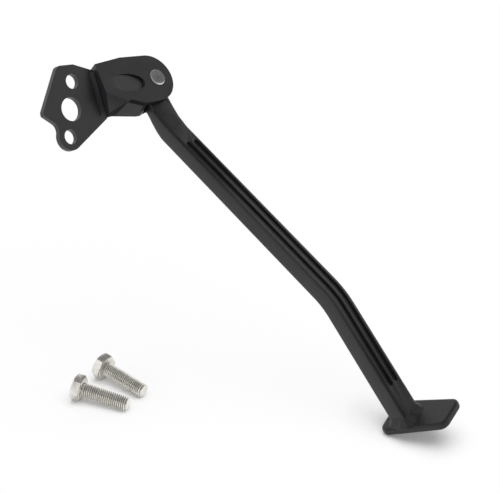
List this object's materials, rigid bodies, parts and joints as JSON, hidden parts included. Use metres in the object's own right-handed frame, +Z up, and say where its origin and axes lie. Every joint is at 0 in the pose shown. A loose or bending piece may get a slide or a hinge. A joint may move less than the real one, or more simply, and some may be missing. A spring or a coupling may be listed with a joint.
{
  "type": "motorcycle kickstand",
  "caption": "Side stand with a bolt-on plate, forked head, folding grooved leg with two bends and a welded foot plate, with its loose hex mounting bolts",
  "frame": {"origin": "Middle of the two bolt holes on the plate's inner face, which lies against the motorcycle frame", "axes": "+Z straight up from the ground the pictured stand and bolts lie over, +X along the ground from the plate towards the foot, +Y away from the viewer"},
  "size_m": [0.2934, 0.1885, 0.2313],
  "materials": {
    "black_paint": "satin black coating",
    "leg_paint": "satin black coating",
    "pin_steel": "turned steel",
    "bolt_steel": "bright stainless steel",
    "spring_steel": "drawn spring wire",
    "bronze": "plain bearing bronze"
  },
  "bodies": {
    "bracket": {"mount_plate": "black_paint", "clevis_head": "black_paint", "bracket_weld_front": "black_paint", "bracket_weld_rear": "black_paint", "bore_plug": "pin_steel", "pivot_pin": "pin_steel", "pin_washer": "pin_steel", "pin_circlip": "pin_steel", "thrust_washer_front": "bronze", "thrust_washer_rear": "bronze", "detent_spring": "spring_steel", "mounting_bolt_upper": "bolt_steel", "mounting_bolt_lower": "bolt_steel"},
    "leg": {"leg": "leg_paint", "knuckle_bush": "bronze", "foot_plate": "leg_paint", "foot_weld": "leg_paint"},
    "plunger": {"detent_plunger": "pin_steel"}
  },
  "joints": [
    {"name": "leg_swing", "type": "hinge", "parent": "bracket", "child": "leg", "pos_m": [0.05743, 0.04691, -0.00935], "axis": [0.5252, -0.3312, 0.7839], "range_deg": [0, 100]},
    {"name": "plunger_slide", "type": "slide", "parent": "bracket", "child": "plunger", "axis": [-0.8018, -0.501, 0.3256], "range_m": [-0.0012, 0.002], "stiffness_N_per_m": 1500, "deforming": ["detent_spring"]}
  ]
}
